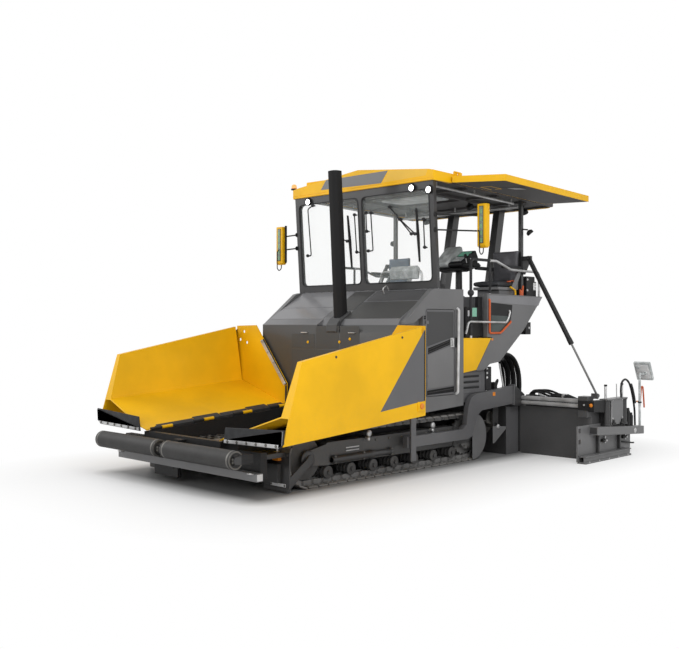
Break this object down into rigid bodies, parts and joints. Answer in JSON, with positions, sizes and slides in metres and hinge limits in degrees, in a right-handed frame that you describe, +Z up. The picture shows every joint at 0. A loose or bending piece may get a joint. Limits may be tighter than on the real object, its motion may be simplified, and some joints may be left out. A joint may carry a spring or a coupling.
{
  "type": "tracked asphalt paver",
  "caption": "Tracked asphalt paver with folding hopper wings, push rollers, an open operator platform under a canopy, and a towed screed with sliding extensions",
  "frame": {"origin": "on the ground under the centre of the machine's bounding box", "axes": "+X to the machine's left, +Y to its rear (the screed), +Z up"},
  "size_m": [5.03, 6.4279, 3.822],
  "materials": {
    "machine_yellow": "satin paint",
    "body_grey": "satin paint",
    "frame_dark": "satin paint, dusty",
    "track_pads": "worn rubber pads",
    "bare_steel": "worn steel",
    "tube_chrome": "polished",
    "flap_rubber": "matt",
    "cast_parts": "painted casting",
    "window_glass": "clear",
    "seat_vinyl": "matt vinyl",
    "box_plastic": "matt"
  },
  "bodies": {
    "tractor": {"auger_hanger": "frame_dark", "bumper_bar": "body_grey", "canopy_posts": "frame_dark", "canopy_roof": "machine_yellow", "control_console": "box_plastic", "conveyors": "bare_steel", "deck": "body_grey", "display_boxes": "machine_yellow", "engine": "cast_parts", "exhaust_stack": "frame_dark", "handrails": "bare_steel", "hood": "body_grey", "lamps": "box_plastic", "lower_body": "frame_dark", "main_frame": "frame_dark", "rear_apron": "body_grey", "rear_console": "body_grey", "screed_hoses": "flap_rubber", "seats": "seat_vinyl", "side_consoles": "body_grey", "side_frames": "body_grey", "sprockets": "cast_parts", "tow_guides": "frame_dark", "track_frames": "frame_dark", "track_guards": "body_grey", "track_left": "track_pads", "track_right": "track_pads", "track_rollers": "cast_parts", "windshield_frame": "frame_dark", "windshield_glass": "window_glass", "yellow_panels": "machine_yellow"},
    "wing_left": {"wing_left": "machine_yellow", "front_flap_left": "flap_rubber"},
    "push_roller_left": {"push_roller_left": "cast_parts"},
    "auger_left": {"auger_left": "bare_steel"},
    "service_door_left": {"service_door_left": "body_grey"},
    "awning_left": {"awning_left": "machine_yellow"},
    "screed_extension_left": {"extension_left": "body_grey", "guide_tubes_left": "tube_chrome", "end_gate_left": "body_grey", "control_panel_left": "body_grey"},
    "strut_tube_left": {"strut_tube_left": "frame_dark"},
    "strut_rod_left": {"strut_rod_left": "tube_chrome"},
    "wing_right": {"wing_right": "machine_yellow", "front_flap_right": "flap_rubber"},
    "push_roller_right": {"push_roller_right": "cast_parts"},
    "auger_right": {"auger_right": "bare_steel"},
    "service_door_right": {"service_door_right": "body_grey"},
    "awning_right": {"awning_right": "machine_yellow"},
    "screed_extension_right": {"extension_right": "body_grey", "guide_tubes_right": "tube_chrome", "end_gate_right": "body_grey", "control_panel_right": "body_grey"},
    "strut_tube_right": {"strut_tube_right": "frame_dark"},
    "strut_rod_right": {"strut_rod_right": "tube_chrome"},
    "push_beam": {"push_beam": "frame_dark"},
    "screed": {"tow_arms": "body_grey", "main_screed": "frame_dark"}
  },
  "joints": [
    {"name": "wing_left_fold", "type": "hinge", "parent": "tractor", "child": "wing_left", "pos_m": [0.668, -2.82, 0.555], "axis": [0, -0.9975, -0.0709], "range_deg": [0, 60]},
    {"name": "wing_right_fold", "type": "hinge", "parent": "tractor", "child": "wing_right", "pos_m": [-0.668, -2.82, 0.555], "axis": [0, 0.9975, 0.0709], "range_deg": [0, 60]},
    {"name": "push_beam_pivot", "type": "hinge", "parent": "tractor", "child": "push_beam", "pos_m": [0, -2.915, 0.42], "axis": [0, 0, 1], "range_deg": [-3, 3]},
    {"name": "push_roller_left_spin", "type": "hinge", "parent": "push_beam", "child": "push_roller_left", "pos_m": [0.649, -3.119, 0.42], "axis": [1, 0, 0], "continuous": true},
    {"name": "push_roller_right_spin", "type": "hinge", "parent": "push_beam", "child": "push_roller_right", "pos_m": [-0.649, -3.119, 0.42], "axis": [1, 0, 0], "continuous": true},
    {"name": "auger_left_spin", "type": "hinge", "parent": "tractor", "child": "auger_left", "pos_m": [0.62, 1.372, 0.42], "axis": [1, 0, 0], "continuous": true},
    {"name": "auger_right_spin", "type": "hinge", "parent": "tractor", "child": "auger_right", "pos_m": [-0.62, 1.372, 0.42], "axis": [1, 0, 0], "continuous": true},
    {"name": "service_door_left_swing", "type": "hinge", "parent": "tractor", "child": "service_door_left", "pos_m": [1.26, -0.201, 1.4], "axis": [0, 0, -1], "range_deg": [0, 90]},
    {"name": "service_door_right_swing", "type": "hinge", "parent": "tractor", "child": "service_door_right", "pos_m": [-1.26, -0.201, 1.4], "axis": [0, 0, 1], "range_deg": [0, 90]},
    {"name": "awning_left_fold", "type": "hinge", "parent": "tractor", "child": "awning_left", "pos_m": [1.314, -0.06124, 3.66492], "axis": [0, -0.9994, 0.034], "range_deg": [0, 180]},
    {"name": "awning_right_unfold", "type": "hinge", "parent": "tractor", "child": "awning_right", "pos_m": [-1.314, -0.06124, 3.66492], "axis": [0, -0.9994, 0.034], "range_deg": [0, 180]},
    {"name": "screed_lift", "type": "hinge", "parent": "tractor", "child": "screed", "pos_m": [0, -0.48, 0.37], "axis": [1, 0, 0], "range_deg": [0, 4.5], "deforming": ["screed_hoses"]},
    {"name": "screed_extension_left_slide", "type": "slide", "parent": "screed", "child": "screed_extension_left", "axis": [-1, 0, 0], "range_m": [0, 0.86]},
    {"name": "screed_extension_right_slide", "type": "slide", "parent": "screed", "child": "screed_extension_right", "axis": [1, 0, 0], "range_m": [0, 0.86]},
    {"name": "strut_left_swing", "type": "hinge", "parent": "tractor", "child": "strut_tube_left", "pos_m": [1.3, 1.975, 2.67], "axis": [0, 1, 0], "range_deg": [0, 24]},
    {"name": "strut_left_slide", "type": "slide", "parent": "strut_tube_left", "child": "strut_rod_left", "axis": [-0.4918, 0, 0.8707], "range_m": [0, 0.266]},
    {"name": "strut_right_swing", "type": "hinge", "parent": "tractor", "child": "strut_tube_right", "pos_m": [-1.3, 1.975, 2.67], "axis": [0, -1, 0], "range_deg": [0, 24]},
    {"name": "strut_right_slide", "type": "slide", "parent": "strut_tube_right", "child": "strut_rod_right", "axis": [0.4918, 0, 0.8707], "range_m": [0, 0.266]}
  ],
  "couplings": [
    {"joint": "strut_left_swing", "follows": "screed_extension_left_slide", "rad_per_m": 0.48666},
    {"joint": "strut_left_slide", "follows": "screed_extension_left_slide", "ratio": 0.30693},
    {"joint": "strut_right_swing", "follows": "screed_extension_right_slide", "rad_per_m": 0.48666},
    {"joint": "strut_right_slide", "follows": "screed_extension_right_slide", "ratio": 0.30693}
  ]
}
